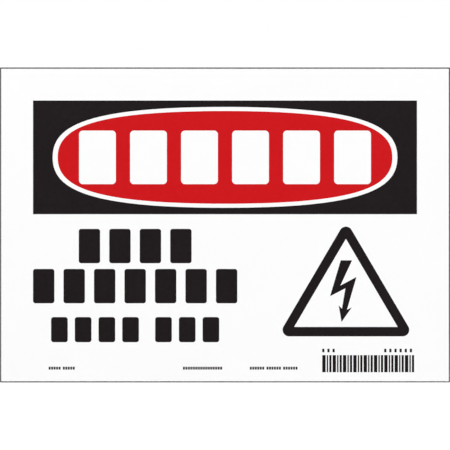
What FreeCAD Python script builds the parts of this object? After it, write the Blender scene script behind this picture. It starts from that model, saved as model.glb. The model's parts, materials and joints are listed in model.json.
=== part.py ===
# Safety sign: one printed self-adhesive vinyl sheet, 254 x 177.8 mm (10 x 7 in), square corners, no holes.
# It stands upright. Origin: centre of the back face. +X right, +Z up, the print faces -Y.
import FreeCAD, Part
import Sketcher
import math
import os

# Driving sizes in millimetres, apart from those whose name ends in share or count.
SIZES = {
    # The sheet, its film of ink, and the hairline printed along its edge.
    "sheet_width": 254.0,
    "sheet_height": 177.8,
    "sheet_thickness": 0.30,
    "ink_thickness": 0.03,
    "edge_line_width": 0.65,
    # The header panel keeps one margin to the left, right and top edges.
    "print_margin": 18.65,
    "header_height": 64.15,
    # The oval window in the header, the white ring inside it, and how full its curves are.
    "window_end_margin": 11.05,
    "window_flank_margin": 3.6,
    "ring_end_width": 2.85,
    "ring_flank_width": 2.3,
    "end_fullness_share": 0.587,
    "flank_fullness_share": 0.837,
    # The row of openings in the red oval.
    "opening_count": 6,
    "opening_gap": 8.0,
    "opening_inset": 12.05,
    "opening_height_share": 0.578,
    "opening_corner": 2.2,
    # The left column takes this share of the header's width. It has two rows of tall blocks, then a row
    # of low ones in two groups. A gap takes its share of the distance from block to block.
    "column_share": 0.532,
    "column_drop": 8.3,
    "column_lift": 22.75,
    "block_gap_share": 0.30,
    "block_corner": 1.4,
    "first_row_count": 4,
    "second_row_count": 7,
    "tall_row_gap": 3.25,
    "low_row_gap": 7.8,
    "low_height_share": 0.732,
    "low_inset": 10.2,
    "low_group_gap": 9.2,
    "low_left_count": 4,
    "low_right_count": 3,
    # The right column: the triangle, and the bolt that ends in an arrow inside it.
    "column_gap": 22.8,
    "right_inset": 1.6,
    "triangle_band": 5.3,
    "triangle_corner": 3.7,
    "triangle_top_gap": 3.4,
    "triangle_foot_gap": 7.0,
    "arrow_top_gap": 22.65,
    "arrow_foot_gap": 2.85,
    # The ruled patch below the triangle has sets of three bars, and two rows of small tabs above it.
    "patch_width": 51.85,
    "patch_height": 9.65,
    "patch_lift": 5.8,
    "patch_set_count": 9,
    "broad_bar_width": 1.9,
    "fine_bar_width": 0.8,
    "middle_bar_width": 1.25,
    "tab_lift": 1.6,
    "tab_height": 2.0,
    "tab_width": 1.2,
    "tab_gap": 1.7,
    "tab_right_inset": 1.2,
    "tab_left_count": 3,
    "tab_right_count": 6,
    # The small bars along the foot, in three groups of one or more runs.
    "foot_bar_lift": 7.3,
    "foot_bar_height": 1.6,
    "foot_bar_width": 1.05,
    "foot_bar_gap": 0.35,
    "foot_run_gap": 1.35,
    "foot_start": 8.85,
    "foot_group_gap": 15.7,
    "foot_patch_gap": 14.0,
    "foot_left_count": 5,
    "foot_left_runs": 2,
    "foot_middle_count": 16,
    "foot_right_count": 6,
    "foot_right_runs": 3,
}

# The lightning bolt, from its top left corner to the right and round. Each corner lies to the right of
# the triangle's middle by a share of its base, and above the arrow's tip by a share of the bolt's rise.
BOLT_CORNER_SHARES = [
    (-0.038, 1.000),
    (0.045, 1.000),
    (-0.041, 0.589),
    (0.077, 0.729),
    (0.008, 0.198),
    (0.043, 0.236),
    (-0.032, 0.000),
    (-0.053, 0.271),
    (-0.029, 0.214),
    (-0.004, 0.546),
    (-0.116, 0.418),
]

# The size and turn that an outline is first drawn at, before its constraints give it the real ones. The
# turn, in radians, keeps each first corner off the axes.
ROUGH_LENGTH = 20.0
ROUGH_HEIGHT = 12.0
ROUGH_RADIUS = 2.0
ROUGH_TURN = 0.4


def formula(text, **parts):
    """A formula on the sizes, with each name in braces replaced by its part."""
    return "(" + text.format(**parts) + ")"


# Lines and sizes that several pieces share.
SHEET_LEFT = "(-Sizes.sheet_width / 2)"
SHEET_FOOT = "(-Sizes.sheet_height / 2)"
HEADER_LEFT = "(Sizes.print_margin - Sizes.sheet_width / 2)"
HEADER_RIGHT = "(Sizes.sheet_width / 2 - Sizes.print_margin)"
HEADER_WIDTH = "(Sizes.sheet_width - 2 * Sizes.print_margin)"
HEADER_FOOT = "(Sizes.sheet_height / 2 - Sizes.print_margin - Sizes.header_height)"
HEADER_MIDDLE = "(Sizes.sheet_height / 2 - Sizes.print_margin - Sizes.header_height / 2)"
WINDOW_HALF_LENGTH = formula("{width} / 2 - Sizes.window_end_margin", width=HEADER_WIDTH)
WINDOW_HALF_HEIGHT = "(Sizes.header_height / 2 - Sizes.window_flank_margin)"
OVAL_HALF_LENGTH = formula("{window} - Sizes.ring_end_width", window=WINDOW_HALF_LENGTH)
OVAL_HALF_HEIGHT = formula("{window} - Sizes.ring_flank_width", window=WINDOW_HALF_HEIGHT)
RIGHT_LINE = formula("{header} - Sizes.right_inset", header=HEADER_RIGHT)
PATCH_LEFT = formula("{line} - Sizes.patch_width", line=RIGHT_LINE)
PATCH_FOOT = formula("{foot} + Sizes.patch_lift", foot=SHEET_FOOT)
TAB_FOOT = formula("{foot} + Sizes.patch_height + Sizes.tab_lift", foot=PATCH_FOOT)
COLUMN_WIDTH = formula("Sizes.column_share * {header}", header=HEADER_WIDTH)
COLUMN_MIDDLE = formula("{left} + {width} / 2", left=HEADER_LEFT, width=COLUMN_WIDTH)
TRIANGLE_LEFT = formula("{left} + {width} + Sizes.column_gap", left=HEADER_LEFT, width=COLUMN_WIDTH)
TRIANGLE_BASE = formula("{right} - {left}", right=RIGHT_LINE, left=TRIANGLE_LEFT)
TRIANGLE_MIDDLE = formula("({left} + {right}) / 2", left=TRIANGLE_LEFT, right=RIGHT_LINE)
TRIANGLE_FOOT = formula("{tab} + Sizes.tab_height + Sizes.triangle_foot_gap", tab=TAB_FOOT)
TRIANGLE_TOP = formula("{header} - Sizes.triangle_top_gap", header=HEADER_FOOT)

doc = FreeCAD.newDocument("safety_sign")


def fill_sizes():
    """The spreadsheet: a row for each driving size, its name and then its number."""
    table = doc.addObject("Spreadsheet::Sheet", "Sizes")
    for row, (alias, value) in enumerate(SIZES.items(), start=1):
        table.set("A%d" % row, alias)
        table.set("B%d" % row, str(value))
        table.setAlias("B%d" % row, alias)
    doc.recompute()


def new_body(label):
    """An empty body whose label names its piece."""
    body = doc.addObject("PartDesign::Body", label)
    body.Label = label
    return body


def face_sketch(body, name):
    """A sketch on the sheet's front: its x is the sign's X, and its y is the sign's Z."""
    sketch = body.newObject("Sketcher::SketchObject", name)
    plane = [item for item in body.Origin.OriginFeatures if item.Role == "XZ_Plane"][0]
    sketch.AttachmentSupport = (plane, [""])
    sketch.MapMode = "FlatFace"
    sketch.setExpression("AttachmentOffset.Base.z", "Sizes.sheet_thickness")
    return sketch


def bind(sketch, constraint, size):
    """Add a constraint whose size is a formula."""
    index = sketch.addConstraint(constraint)
    sketch.setExpression("Constraints[%d]" % index, size)


def hold_across(sketch, geometry, point, across):
    """Hold a point at a distance to the right of the middle of the sheet."""
    here = sketch.getPoint(geometry, point).x
    bind(sketch, Sketcher.Constraint("DistanceX", -1, 1, geometry, point, here), across)


def hold_up(sketch, geometry, point, up):
    """Hold a point at a distance above the middle of the sheet."""
    here = sketch.getPoint(geometry, point).y
    bind(sketch, Sketcher.Constraint("DistanceY", -1, 1, geometry, point, here), up)


def polygon(sketch, corners):
    """A closed outline of straight lines through corners that are pairs of formulas. It is first drawn
    evenly round a circle."""
    first = sketch.GeometryCount
    count = len(corners)
    rough = []
    for number in range(count):
        angle = 2 * math.pi * number / count + ROUGH_TURN
        rough.append(FreeCAD.Vector(ROUGH_LENGTH * math.cos(angle), ROUGH_LENGTH * math.sin(angle), 0))
    for number in range(count):
        sketch.addGeometry(Part.LineSegment(rough[number], rough[(number + 1) % count]))
    for number in range(count):
        following = first + (number + 1) % count
        sketch.addConstraint(Sketcher.Constraint("Coincident", first + number, 2, following, 1))
    for line, (across, up) in enumerate(corners, start=first):
        hold_across(sketch, line, 1, across)
        hold_up(sketch, line, 1, up)


def rectangle(sketch, left, foot, width, height):
    """A closed rectangle from its lower left corner and its size."""
    right = formula("{left} + {width}", left=left, width=width)
    top = formula("{foot} + {height}", foot=foot, height=height)
    polygon(sketch, [(left, foot), (right, foot), (right, top), (left, top)])


def rounded_rectangle(sketch, left, foot, width, height, radius):
    """A closed rectangle of four lines, each followed by a tangent arc."""
    near = ROUGH_RADIUS
    far = ROUGH_LENGTH - ROUGH_RADIUS
    high = ROUGH_HEIGHT - ROUGH_RADIUS
    sides = [
        ((near, 0), (far, 0), (far, near)),
        ((ROUGH_LENGTH, near), (ROUGH_LENGTH, high), (far, high)),
        ((far, ROUGH_HEIGHT), (near, ROUGH_HEIGHT), (near, high)),
        ((0, high), (0, near), (near, near)),
    ]
    for number, (start, end, centre) in enumerate(sides):
        sketch.addGeometry(Part.LineSegment(FreeCAD.Vector(*start, 0), FreeCAD.Vector(*end, 0)))
        circle = Part.Circle(FreeCAD.Vector(*centre, 0), FreeCAD.Vector(0, 0, 1), ROUGH_RADIUS)
        turn = (number - 1) * math.pi / 2
        sketch.addGeometry(Part.ArcOfCircle(circle, turn, turn + math.pi / 2))
    foot_line, right_line, top_line, left_line = 0, 2, 4, 6
    for line in (foot_line, right_line, top_line, left_line):
        arc = line + 1
        sketch.addConstraint(Sketcher.Constraint("Tangent", line, 2, arc, 1))
        sketch.addConstraint(Sketcher.Constraint("Tangent", arc, 2, (line + 2) % 8, 1))
        if arc > 1:
            sketch.addConstraint(Sketcher.Constraint("Equal", 1, arc))
    for line in (foot_line, top_line):
        sketch.addConstraint(Sketcher.Constraint("Horizontal", line))
    for line in (right_line, left_line):
        sketch.addConstraint(Sketcher.Constraint("Vertical", line))
    bind(sketch, Sketcher.Constraint("Radius", 1, ROUGH_RADIUS), radius)
    hold_across(sketch, left_line, 1, left)
    hold_up(sketch, foot_line, 1, foot)
    hold_across(sketch, right_line, 1, formula("{left} + {width}", left=left, width=width))
    hold_up(sketch, top_line, 1, formula("{foot} + {height}", foot=foot, height=height))


def blunt_oval(sketch, half_length, half_height):
    """Four cubic curves, a quarter each. A quarter leaves the oval's end upright and reaches its flank
    level, and the two fullness shares say how far its handles reach towards the corner."""
    handles = [
        ("1", "0"),
        ("1", "Sizes.end_fullness_share"),
        ("Sizes.flank_fullness_share", "1"),
        ("0", "1"),
    ]
    rough_shares = [(1.0, 0.0), (1.0, 0.6), (0.8, 1.0), (0.0, 1.0)]
    for right, up in ((1, 1), (-1, 1), (-1, -1), (1, -1)):
        poles = []
        for across_share, up_share in rough_shares:
            across = right * ROUGH_LENGTH * across_share
            poles.append(FreeCAD.Vector(across, up * ROUGH_HEIGHT * up_share, 0))
        quarter = Part.BSplineCurve()
        quarter.buildFromPolesMultsKnots(poles, [4, 4], [0.0, 1.0], False, 3)
        curve = sketch.addGeometry(quarter)
        for number, (across_share, up_share) in enumerate(handles):
            pole = sketch.addGeometry(Part.Circle(poles[number], FreeCAD.Vector(0, 0, 1), 1.0), True)
            alignment = "InternalAlignment:Sketcher::BSplineControlPoint"
            sketch.addConstraint(Sketcher.Constraint(alignment, pole, 3, curve, number))
            sketch.addConstraint(Sketcher.Constraint("Weight", pole, 1.0))
            hold_across(sketch, pole, 3, "%d * %s * %s" % (right, half_length, across_share))
            hold_up(sketch, pole, 3, "%s + %d * %s * %s" % (HEADER_MIDDLE, up, half_height, up_share))


def ink(body, sketch):
    """A film of ink on the sheet with the outline of the sketch."""
    film = body.newObject("PartDesign::Pad", sketch.Label + "_film")
    film.Profile = (sketch, [""])
    film.setExpression("Length", "Sizes.ink_thickness")
    body.Tip = film
    doc.recompute()
    return film


def cut_ink(body, sketch):
    """An opening through the film of ink with the outline of the sketch."""
    opening = body.newObject("PartDesign::Pocket", sketch.Label + "_cut")
    opening.Profile = (sketch, [""])
    opening.Reversed = True
    opening.setExpression("Length", "2 * Sizes.ink_thickness")
    body.Tip = opening
    doc.recompute()
    return opening


def row_pattern(body, name, sketch, pitch, count):
    """A pattern of copies to the right, a pitch apart."""
    pattern = body.newObject("PartDesign::LinearPattern", name)
    pattern.Direction = (sketch, ["H_Axis"])
    pattern.Mode = "Spacing"
    pattern.setExpression("Offset", pitch)
    pattern.setExpression("Occurrences", count)
    return pattern


def repeat(body, feature, sketch, pitch, count):
    """The feature and its copies to the right, a pitch apart."""
    pattern = row_pattern(body, feature.Label + "_row", sketch, pitch, count)
    pattern.Originals = [feature]
    body.Tip = pattern
    doc.recompute()


def repeat_runs(body, feature, sketch, pitch, count, run_pitch, runs):
    """Runs of like copies of the feature: each run is a row, and the runs are a run pitch apart."""
    both = body.newObject("PartDesign::MultiTransform", feature.Label + "_runs")
    both.Originals = [feature]
    row = row_pattern(body, feature.Label + "_row", sketch, pitch, count)
    groups = row_pattern(body, feature.Label + "_groups", sketch, run_pitch, runs)
    both.Transformations = [row, groups]
    body.Tip = both
    doc.recompute()


def block_row(body, name, left, foot, pitch, height, count):
    """A row of like blocks with rounded corners, from its lower left corner, a pitch apart."""
    width = formula("{pitch} * (1 - Sizes.block_gap_share)", pitch=pitch)
    sketch = face_sketch(body, name)
    rounded_rectangle(sketch, left, foot, width, height, "Sizes.block_corner")
    repeat(body, ink(body, sketch), sketch, pitch, count)


def bar_row(body, name, left, foot, size, gap, count):
    """A row of like bars with square corners, from its lower left corner."""
    width, height = size
    sketch = face_sketch(body, name)
    rectangle(sketch, left, foot, width, height)
    repeat(body, ink(body, sketch), sketch, formula("{width} + {gap}", width=width, gap=gap), count)


def row_length(width, gap, count):
    """The length of a row of like bars, or of like runs."""
    return formula("{count} * ({width} + {gap}) - {gap}", width=width, gap=gap, count=count)


def make_sheet():
    """Vinyl, adhesive and paper liner, bonded in one flat sheet."""
    sheet = doc.addObject("Part::Box", "sheet")
    sheet.Label = "sheet"
    sheet.setExpression("Length", "Sizes.sheet_width")
    sheet.setExpression("Width", "Sizes.sheet_thickness")
    sheet.setExpression("Height", "Sizes.sheet_height")
    sheet.setExpression("Placement.Base.x", SHEET_LEFT)
    sheet.setExpression("Placement.Base.y", "-Sizes.sheet_thickness")
    sheet.setExpression("Placement.Base.z", SHEET_FOOT)
    return sheet


def make_edge_line():
    """The hairline along the sheet's edge."""
    body = new_body("edge_line")
    sketch = face_sketch(body, "edge_outline")
    rectangle(sketch, SHEET_LEFT, SHEET_FOOT, "Sizes.sheet_width", "Sizes.sheet_height")
    rectangle(
        sketch,
        formula("{left} + Sizes.edge_line_width", left=SHEET_LEFT),
        formula("{foot} + Sizes.edge_line_width", foot=SHEET_FOOT),
        "(Sizes.sheet_width - 2 * Sizes.edge_line_width)",
        "(Sizes.sheet_height - 2 * Sizes.edge_line_width)",
    )
    ink(body, sketch)
    return body


def make_header_panel():
    """The panel across the top, with its blunt oval window."""
    body = new_body("header_panel")
    sketch = face_sketch(body, "header_outline")
    rectangle(sketch, HEADER_LEFT, HEADER_FOOT, HEADER_WIDTH, "Sizes.header_height")
    blunt_oval(sketch, WINDOW_HALF_LENGTH, WINDOW_HALF_HEIGHT)
    ink(body, sketch)
    return body


def make_red_oval():
    """The oval inside the window, with its row of openings. The bare sheet shows through them, and
    as a ring round the oval."""
    body = new_body("red_oval")
    outline = face_sketch(body, "oval_outline")
    blunt_oval(outline, OVAL_HALF_LENGTH, OVAL_HALF_HEIGHT)
    ink(body, outline)
    length = formula("2 * ({half} - Sizes.opening_inset)", half=OVAL_HALF_LENGTH)
    height = formula("2 * {half} * Sizes.opening_height_share", half=OVAL_HALF_HEIGHT)
    pitch = formula("({length} + Sizes.opening_gap) / Sizes.opening_count", length=length)
    left = formula("-{length} / 2", length=length)
    foot = formula("{middle} - {height} / 2", middle=HEADER_MIDDLE, height=height)
    width = formula("{pitch} - Sizes.opening_gap", pitch=pitch)
    opening = face_sketch(body, "opening")
    rounded_rectangle(opening, left, foot, width, height, "Sizes.opening_corner")
    repeat(body, cut_ink(body, opening), opening, pitch, "Sizes.opening_count")
    return body


def make_message_rows():
    """Three rows of blocks in the left column. The second row fills the column's width, and what height
    the gaps leave is shared between the rows."""
    top = formula("{header} - Sizes.column_drop", header=HEADER_FOOT)
    low_foot = formula("{foot} + Sizes.column_lift", foot=SHEET_FOOT)
    tall_height = formula(
        "({top} - {foot} - Sizes.tall_row_gap - Sizes.low_row_gap) / (2 + Sizes.low_height_share)",
        top=top,
        foot=low_foot,
    )
    low_height = formula("{tall} * Sizes.low_height_share", tall=tall_height)
    second_foot = formula("{foot} + {low} + Sizes.low_row_gap", foot=low_foot, low=low_height)
    first_foot = formula("{foot} + {tall} + Sizes.tall_row_gap", foot=second_foot, tall=tall_height)
    tall_pitch = formula(
        "{column} / (Sizes.second_row_count - Sizes.block_gap_share)",
        column=COLUMN_WIDTH,
    )
    rows = []
    for label, count, foot in (
        ("message_row_1", "Sizes.first_row_count", first_foot),
        ("message_row_2", "Sizes.second_row_count", second_foot),
    ):
        length = formula("{pitch} * ({count} - Sizes.block_gap_share)", pitch=tall_pitch, count=count)
        left = formula("{middle} - {length} / 2", middle=COLUMN_MIDDLE, length=length)
        body = new_body(label)
        block_row(body, label + "_block", left, foot, tall_pitch, tall_height, count)
        rows.append(body)
    low_pitch = formula(
        "({column} - 2 * Sizes.low_inset - Sizes.low_group_gap)"
        " / (Sizes.low_left_count + Sizes.low_right_count - 2 * Sizes.block_gap_share)",
        column=COLUMN_WIDTH,
    )
    left = formula("{column} + Sizes.low_inset", column=HEADER_LEFT)
    right = formula(
        "{left} + {pitch} * (Sizes.low_left_count - Sizes.block_gap_share) + Sizes.low_group_gap",
        left=left,
        pitch=low_pitch,
    )
    low_row = new_body("message_row_3")
    block_row(low_row, "low_left_block", left, low_foot, low_pitch, low_height, "Sizes.low_left_count")
    block_row(low_row, "low_right_block", right, low_foot, low_pitch, low_height, "Sizes.low_right_count")
    return rows + [low_row]


def make_warning_triangle():
    """A band of one width all round, with rounded corners outside and sharp ones inside."""
    body = new_body("warning_triangle")
    outline = face_sketch(body, "triangle_outline")
    corners = [(TRIANGLE_LEFT, TRIANGLE_FOOT), (RIGHT_LINE, TRIANGLE_FOOT), (TRIANGLE_MIDDLE, TRIANGLE_TOP)]
    polygon(outline, corners)
    plate = ink(body, outline)
    # The edges at the corners run through the film, along Y.
    corner_edges = []
    for number, edge in enumerate(plate.Shape.Edges, start=1):
        direction = edge.tangentAt(edge.FirstParameter)
        if abs(direction.y) > abs(direction.x) + abs(direction.z):
            corner_edges.append("Edge%d" % number)
    rounding = body.newObject("PartDesign::Fillet", "triangle_rounding")
    rounding.Base = (plate, corner_edges)
    rounding.setExpression("Radius", "Sizes.triangle_corner")
    body.Tip = rounding
    doc.recompute()
    rise = formula("{top} - {foot}", top=TRIANGLE_TOP, foot=TRIANGLE_FOOT)
    side = formula("sqrt(({base} / 2)^2 + {rise}^2)", base=TRIANGLE_BASE, rise=rise)
    # An even band leaves a window of the triangle's own shape, smaller by this share.
    share = formula(
        "1 - Sizes.triangle_band * ({base} + 2 * {side}) / ({base} * {rise})",
        base=TRIANGLE_BASE,
        side=side,
        rise=rise,
    )
    half = formula("{share} * {base} / 2", share=share, base=TRIANGLE_BASE)
    window_foot = formula("{foot} + Sizes.triangle_band", foot=TRIANGLE_FOOT)
    window_corners = [
        (formula("{middle} - {half}", middle=TRIANGLE_MIDDLE, half=half), window_foot),
        (formula("{middle} + {half}", middle=TRIANGLE_MIDDLE, half=half), window_foot),
        (TRIANGLE_MIDDLE, formula("{foot} + {share} * {rise}", foot=window_foot, share=share, rise=rise)),
    ]
    window = face_sketch(body, "triangle_window")
    polygon(window, window_corners)
    cut_ink(body, window)
    return body


def make_lightning_bolt():
    """The bolt that ends in an arrow, its tip just above the triangle's foot band."""
    tip = formula("{foot} + Sizes.triangle_band + Sizes.arrow_foot_gap", foot=TRIANGLE_FOOT)
    rise = formula("{top} - Sizes.arrow_top_gap - {tip}", top=TRIANGLE_TOP, tip=tip)
    corners = []
    for across_share, up_share in BOLT_CORNER_SHARES:
        across = "%s + %s * %s" % (TRIANGLE_MIDDLE, across_share, TRIANGLE_BASE)
        corners.append((across, "%s + %s * %s" % (tip, up_share, rise)))
    body = new_body("lightning_bolt")
    sketch = face_sketch(body, "bolt_outline")
    polygon(sketch, corners)
    ink(body, sketch)
    return body


def make_ruled_patch():
    """Bars side by side in like sets of a broad, a fine and a middling one, with one gap between all of
    them, and a short row of tabs above each end."""
    body = new_body("ruled_patch")
    set_width = "(Sizes.broad_bar_width + Sizes.fine_bar_width + Sizes.middle_bar_width)"
    gap = formula(
        "(Sizes.patch_width - Sizes.patch_set_count * {bars}) / (3 * Sizes.patch_set_count - 1)",
        bars=set_width,
    )
    fine_left = formula("{left} + Sizes.broad_bar_width + {gap}", left=PATCH_LEFT, gap=gap)
    middle_left = formula("{left} + Sizes.fine_bar_width + {gap}", left=fine_left, gap=gap)
    bars = face_sketch(body, "patch_set")
    rectangle(bars, PATCH_LEFT, PATCH_FOOT, "Sizes.broad_bar_width", "Sizes.patch_height")
    rectangle(bars, fine_left, PATCH_FOOT, "Sizes.fine_bar_width", "Sizes.patch_height")
    rectangle(bars, middle_left, PATCH_FOOT, "Sizes.middle_bar_width", "Sizes.patch_height")
    set_pitch = formula("{bars} + 3 * {gap}", bars=set_width, gap=gap)
    repeat(body, ink(body, bars), bars, set_pitch, "Sizes.patch_set_count")
    tab = ("Sizes.tab_width", "Sizes.tab_height")
    right_length = row_length("Sizes.tab_width", "Sizes.tab_gap", "Sizes.tab_right_count")
    right = formula("{line} - Sizes.tab_right_inset - {length}", line=RIGHT_LINE, length=right_length)
    bar_row(body, "left_tab", PATCH_LEFT, TAB_FOOT, tab, "Sizes.tab_gap", "Sizes.tab_left_count")
    bar_row(body, "right_tab", right, TAB_FOOT, tab, "Sizes.tab_gap", "Sizes.tab_right_count")
    return body


def make_foot_bars():
    """The small bars along the foot: the left group starts from the header's left edge, the right one
    ends before the ruled patch, and the middle one before the right one."""
    body = new_body("foot_bars")
    bar = "Sizes.foot_bar_width"
    gap = "Sizes.foot_bar_gap"
    foot = formula("{foot} + Sizes.foot_bar_lift", foot=SHEET_FOOT)
    left_run = row_length(bar, gap, "Sizes.foot_left_count")
    middle_run = row_length(bar, gap, "Sizes.foot_middle_count")
    right_run = row_length(bar, gap, "Sizes.foot_right_count")
    right_length = row_length(right_run, "Sizes.foot_run_gap", "Sizes.foot_right_runs")
    left = formula("{header} + Sizes.foot_start", header=HEADER_LEFT)
    right = formula("{patch} - Sizes.foot_patch_gap - {length}", patch=PATCH_LEFT, length=right_length)
    middle = formula("{right} - Sizes.foot_group_gap - {length}", right=right, length=middle_run)
    for name, start, count, run, runs in (
        ("foot_left_bar", left, "Sizes.foot_left_count", left_run, "Sizes.foot_left_runs"),
        ("foot_middle_bar", middle, "Sizes.foot_middle_count", middle_run, "1"),
        ("foot_right_bar", right, "Sizes.foot_right_count", right_run, "Sizes.foot_right_runs"),
    ):
        sketch = face_sketch(body, name)
        rectangle(sketch, start, foot, bar, "Sizes.foot_bar_height")
        pitch = formula("{bar} + {gap}", bar=bar, gap=gap)
        run_pitch = formula("{run} + Sizes.foot_run_gap", run=run)
        repeat_runs(body, ink(body, sketch), sketch, pitch, count, run_pitch, runs)
    return body


fill_sizes()
pieces = [make_sheet(), make_edge_line(), make_header_panel(), make_red_oval()]
pieces += make_message_rows()
pieces += [make_warning_triangle(), make_lightning_bolt(), make_ruled_patch(), make_foot_bars()]
doc.recompute()

for item in doc.Objects:
    if "Invalid" in item.State or "Error" in item.State:
        raise RuntimeError("%s is %s" % (item.Name, item.State))
for piece in pieces:
    if piece.Shape.isNull() or not piece.Shape.isValid() or not piece.Shape.Solids:
        raise RuntimeError("%s has no valid solid" % piece.Label)

os.makedirs("parts", exist_ok=True)
for piece in pieces:
    piece.Shape.exportStep("parts/%s.step" % piece.Label)
    print("%-18s solids %2d  volume %.3f mm3" % (piece.Label, len(piece.Shape.Solids), piece.Shape.Volume))
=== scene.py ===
# A printed self-adhesive vinyl safety sign: its vinyl, inks and paper liner, its light and its camera.
import bpy
import bmesh
import json
import math
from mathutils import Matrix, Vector


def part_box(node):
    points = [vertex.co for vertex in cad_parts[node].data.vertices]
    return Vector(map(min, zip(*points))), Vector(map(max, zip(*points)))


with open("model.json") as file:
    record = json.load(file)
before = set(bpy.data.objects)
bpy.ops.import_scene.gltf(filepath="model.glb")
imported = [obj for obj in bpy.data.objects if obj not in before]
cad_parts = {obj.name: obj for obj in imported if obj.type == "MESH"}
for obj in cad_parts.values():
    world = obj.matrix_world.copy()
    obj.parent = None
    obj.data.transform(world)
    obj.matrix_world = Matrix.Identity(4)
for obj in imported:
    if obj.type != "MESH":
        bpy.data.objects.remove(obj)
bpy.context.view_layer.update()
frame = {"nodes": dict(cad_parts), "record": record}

MM = 0.001

# The camera looks straight on with a long lens.
LENS_MM = 85.0
SENSOR_MM = 36.0

# The layers of the sheet, from its printed face to its back.
VINYL_DEPTH = 0.10 * MM
ADHESIVE_DEPTH = 0.025 * MM

# How wide the patches of each texture are, and how much narrower the liner's fibres are along each axis.
WAVE_SIZE = 70 * MM
CLOUD_SIZE = 60 * MM
GRAIN_SIZE = 0.9 * MM
PULP_SIZE = 9 * MM
FIBRE_SIZE = 2.2 * MM
FIBRE_STRETCH = (1, 1, 3.5)
LAY_SIZE = 26 * MM
MOTTLE_SIZE = 2.5 * MM
TOOTH_SIZE = 0.6 * MM

# How far each texture stands proud, in millimetres.
WAVE_HEIGHT = 0.10
GRAIN_HEIGHT = 0.0024
FIBRE_HEIGHT = 0.020
TOOTH_HEIGHT = 0.004

# How much of a change of colour each texture makes: two textures in the liner, and three in an ink.
PULP_SHARE = 0.4
FIBRE_SHARE = 0.6
LAY_SHARE = 0.3
MOTTLE_SHARE = 0.45
TOOTH_SHARE = 0.25

# How rough the smoothest spots of the vinyl and the liner are, and how much each texture adds there and
# in the inks.
VINYL_ROUGHNESS = 0.30
LINER_ROUGHNESS = 0.66
GRAIN_ROUGHNESS = 0.08
FIBRE_ROUGHNESS = 0.14
LAY_ROUGHNESS = 0.05
TOOTH_ROUGHNESS = 0.10

# How strongly the sheet and the inks mirror. The inks hardly do, or the white surround would grey them.
SHEET_GLOSS = 0.35
INK_GLOSS = 0.06

# Colours, as linear light. Each ink has a colour where it lies thick and one where it lies thin.
VINYL_WHITE = (0.945, 0.944, 0.943)
VINYL_SHADE = (0.936, 0.936, 0.937)
ADHESIVE_AMBER = (0.66, 0.61, 0.49)
LINER_PALE = (0.800, 0.785, 0.745)
LINER_DARK = (0.690, 0.668, 0.612)
BLACK_THICK = (0.0035, 0.0012, 0.0020)
BLACK_THIN = (0.0170, 0.0126, 0.0138)
RED_THICK = (0.552, 0.0021, 0.0050)
RED_THIN = (0.623, 0.0122, 0.0155)

# The light. A strength of 1 in the world is white.
WORLD_FILL = 0.52
FLOOR_LEVEL = -0.45
FLOOR_SIDE = 40.0
FLOOR_PALE = (0.78, 0.78, 0.78)
FLOOR_DARK = (0.76, 0.76, 0.76)
FLOOR_PATCH = 0.5
# To look white, the floor is lifted by this much near the sign, and by more where less light falls.
NEAR_LIFT = 0.21
FAR_LIFT = 0.62
NEAR_REACH = 0.3
FAR_REACH = 5.0

# The sockets of a Mix node that mixes colours, by number because several have one name.
MIX_FACTOR = 0
MIX_FIRST = 6
MIX_SECOND = 7
MIX_RESULT = 2


class Wire:
    """What a node gives out. Where it is a number, sums on it are written as plain expressions."""

    def __init__(self, shader, socket):
        self.shader = shader
        self.socket = socket

    def combine(self, operation, first, second):
        return self.shader.node("ShaderNodeMath", {"operation": operation}, {0: first, 1: second})

    def __add__(self, other):
        return self.combine("ADD", self, other)

    def __radd__(self, other):
        return self.combine("ADD", other, self)

    def __rsub__(self, other):
        return self.combine("SUBTRACT", other, self)

    def __mul__(self, other):
        return self.combine("MULTIPLY", self, other)

    def __rmul__(self, other):
        return self.combine("MULTIPLY", other, self)

    def __gt__(self, other):
        return self.combine("GREATER_THAN", self, other)

    def __lt__(self, other):
        return self.combine("LESS_THAN", self, other)

    def __or__(self, other):
        return self.combine("MAXIMUM", self, other)


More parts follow.
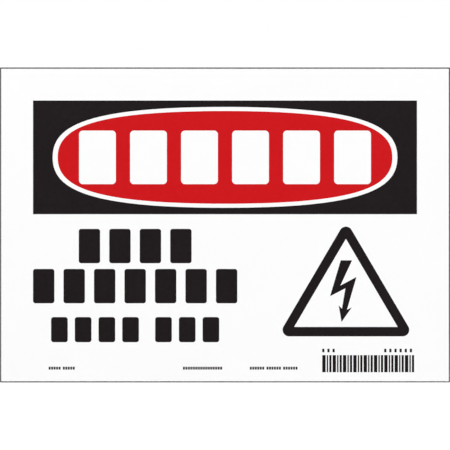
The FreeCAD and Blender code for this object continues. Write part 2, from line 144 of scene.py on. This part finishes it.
class Shader:
    """The nodes of one material or of the world."""

    def __init__(self, tree):
        self.tree = tree

    def node(self, kind, settings, inputs, output=0):
        """One output of a new node. Its settings are made first, then its sockets are filled."""
        made = self.tree.nodes.new(kind)
        for name, value in settings.items():
            setattr(made, name, value)
        self.fill(made, inputs)
        return Wire(self, made.outputs[output])

    def fill(self, node, inputs):
        """Fill a node's sockets with values or wires."""
        for name, value in inputs.items():
            if isinstance(value, Wire):
                self.tree.links.new(value.socket, node.inputs[name])
            else:
                node.inputs[name].default_value = value

    def mix(self, factor, first, second):
        """One colour where the factor is 0, and the other where it is 1."""
        inputs = {MIX_FACTOR: factor}
        for socket, colour in ((MIX_FIRST, first), (MIX_SECOND, second)):
            inputs[socket] = colour if isinstance(colour, Wire) else (*colour, 1.0)
        return self.node("ShaderNodeMix", {"data_type": "RGBA"}, inputs, output=MIX_RESULT)

    def place(self):
        """The point on the surface, in metres in the sign's own frame."""
        return self.node("ShaderNodeTexCoord", {}, {}, output="Object")

    def noise(self, size, detail=2.0, stretch=(1, 1, 1)):
        """Soft random patches about as wide as the size, in metres. A stretch over 1 makes them narrower
        along that axis."""
        point = self.node("ShaderNodeMapping", {}, {"Vector": self.place(), "Scale": stretch})
        return self.node("ShaderNodeTexNoise", {}, {"Vector": point, "Scale": 1 / size, "Detail": detail})

    def sheet_normal(self, texture):
        """A normal for a texture and for the gentle waves that the sheet lies in, both in millimetres."""
        height = self.noise(WAVE_SIZE) * WAVE_HEIGHT + texture
        return self.node("ShaderNodeBump", {}, {"Height": height, "Distance": MM, "Strength": 1.0})

    def is_seen(self):
        """1 for what the camera sees straight, in a gloss or through glass, and 0 for light on things."""
        path = self.tree.nodes.new("ShaderNodeLightPath")
        rays = ("Is Camera Ray", "Is Glossy Ray", "Is Transmission Ray")
        straight, gloss, glass = [Wire(self, path.outputs[name]) for name in rays]
        return straight | gloss | glass


def new_material(name):
    """A material, its shader, and its surface node."""
    material = bpy.data.materials.new(name)
    material.use_nodes = True
    return material, Shader(material.node_tree), material.node_tree.nodes["Principled BSDF"]


def vinyl_material():
    """White calendered vinyl in front, a line of adhesive at the cut edge, and a paper liner behind."""
    material, shader, surface = new_material("white_vinyl")
    depth = shader.node("ShaderNodeSeparateXYZ", {}, {0: shader.place()}, output="Y")
    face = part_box("sheet")[0].y
    is_vinyl = depth < face + VINYL_DEPTH
    is_liner = depth > face + VINYL_DEPTH + ADHESIVE_DEPTH
    cloud = shader.noise(CLOUD_SIZE)
    grain = shader.noise(GRAIN_SIZE, detail=3.0)
    pulp = shader.noise(PULP_SIZE, detail=4.0)
    fibre = shader.noise(FIBRE_SIZE, detail=6.0, stretch=FIBRE_STRETCH)
    vinyl = shader.mix(cloud, VINYL_WHITE, VINYL_SHADE)
    liner = shader.mix(pulp * PULP_SHARE + fibre * FIBRE_SHARE, LINER_DARK, LINER_PALE)
    behind = shader.mix(is_liner, ADHESIVE_AMBER, liner)
    front_roughness = VINYL_ROUGHNESS + GRAIN_ROUGHNESS * grain
    back_roughness = LINER_ROUGHNESS + FIBRE_ROUGHNESS * fibre
    shader.fill(surface, {
        "Base Color": shader.mix(is_vinyl, behind, vinyl),
        "Roughness": is_vinyl * front_roughness + (1 - is_vinyl) * back_roughness,
        "Normal": shader.sheet_normal(is_vinyl * grain * GRAIN_HEIGHT + is_liner * fibre * FIBRE_HEIGHT),
        "Specular IOR Level": SHEET_GLOSS,
    })
    return material


def ink_material(name, thick, thin, roughness):
    """Screen-printed ink. It lies thinner in soft patches and small mottles, with the fine tooth of its
    mesh, and where it is thin the white below lightens it. The roughness is that of its smoothest spots."""
    material, shader, surface = new_material(name)
    lay = shader.noise(LAY_SIZE, detail=3.0)
    mottle = shader.noise(MOTTLE_SIZE, detail=3.0)
    tooth = shader.noise(TOOTH_SIZE)
    thinness = lay * LAY_SHARE + mottle * MOTTLE_SHARE + tooth * TOOTH_SHARE
    shader.fill(surface, {
        "Base Color": shader.mix(thinness, thick, thin),
        "Roughness": roughness + TOOTH_ROUGHNESS * tooth + LAY_ROUGHNESS * lay,
        "Normal": shader.sheet_normal(tooth * TOOTH_HEIGHT),
        "Specular IOR Level": INK_GLOSS,
    })
    return material


def dress_sign():
    """Give every piece of the sign its finish."""
    finishes = {
        "white_vinyl": vinyl_material(),
        "black_ink": ink_material("black_ink", BLACK_THICK, BLACK_THIN, roughness=0.31),
        "red_ink": ink_material("red_ink", RED_THICK, RED_THIN, roughness=0.28),
        "edge_ink": ink_material("edge_ink", BLACK_THICK, BLACK_THIN, roughness=0.40),
        "small_print_ink": ink_material("small_print_ink", BLACK_THICK, BLACK_THIN, roughness=0.37),
    }
    for part in frame["record"]["subparts"]:
        for slot in frame["nodes"][part["node"]].material_slots:
            slot.material = finishes[part["material_slot"]]


def make_floor():
    """A plain floor well below the sign. It looks white, and keeps the sign's shadow."""
    mesh = bpy.data.meshes.new("floor")
    shape = bmesh.new()
    bmesh.ops.create_grid(shape, x_segments=1, y_segments=1, size=FLOOR_SIDE / 2)
    bmesh.ops.translate(shape, verts=shape.verts, vec=(0, 0, FLOOR_LEVEL))
    shape.to_mesh(mesh)
    shape.free()
    floor = bpy.data.objects.new("floor", mesh)
    bpy.context.scene.collection.objects.link(floor)
    material, shader, surface = new_material("floor_paint")
    away = shader.node("ShaderNodeVectorMath", {"operation": "LENGTH"}, {0: shader.place()}, output="Value")
    lift = shader.node("ShaderNodeMapRange", {}, {
        "Value": away,
        "From Min": NEAR_REACH,
        "From Max": FAR_REACH,
        "To Min": NEAR_LIFT,
        "To Max": FAR_LIFT,
    })
    shader.fill(surface, {
        "Base Color": shader.mix(shader.noise(FLOOR_PATCH), FLOOR_PALE, FLOOR_DARK),
        "Emission Color": shader.mix(shader.is_seen() * lift, (0, 0, 0), (1, 1, 1)),
        "Emission Strength": 1.0,
        "Roughness": 0.9,
        "Specular IOR Level": 0.0,
    })
    mesh.materials.append(material)


def make_world():
    """A white surround: full strength where it is seen, and softer as light."""
    world = bpy.data.worlds.new("surround")
    world.use_nodes = True
    bpy.context.scene.world = world
    shader = Shader(world.node_tree)
    shader.fill(world.node_tree.nodes["Background"], {
        "Color": (1, 1, 1, 1),
        "Strength": WORLD_FILL + shader.is_seen() * (1 - WORLD_FILL),
    })


def make_lamp(name, place, size, power):
    """A square soft lamp that faces the sign, its place and size in metres and its power in watts."""
    lamp = bpy.data.lights.new(name, "AREA")
    lamp.size = size
    lamp.energy = power
    made = bpy.data.objects.new(name, lamp)
    made.location = place
    made.rotation_mode = "QUATERNION"
    made.rotation_quaternion = (-Vector(place)).to_track_quat("-Z", "Y")
    bpy.context.scene.collection.objects.link(made)


def make_camera():
    """Straight on, at the distance where the sheet's width fills the photograph's."""
    low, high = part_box("sheet")
    camera = bpy.data.cameras.new("camera")
    camera.sensor_width = SENSOR_MM
    camera.lens = LENS_MM
    made = bpy.data.objects.new("camera", camera)
    distance = (high.x - low.x) * LENS_MM / SENSOR_MM
    made.location = ((low.x + high.x) / 2, low.y - distance, (low.z + high.z) / 2)
    made.rotation_euler = (math.radians(90), 0, 0)
    bpy.context.scene.collection.objects.link(made)
    bpy.context.scene.camera = made


make_camera()
dress_sign()
make_floor()
make_world()
make_lamp("key_lamp", place=(-1.6, -3.2, 2.2), size=2.0, power=62.0)
make_lamp("fill_lamp", place=(2.2, -3.0, 1.1), size=2.0, power=33.0)
make_lamp("rear_lamp", place=(0.9, 2.6, 1.7), size=1.8, power=48.0)
bpy.context.scene.view_settings.view_transform = "Standard"
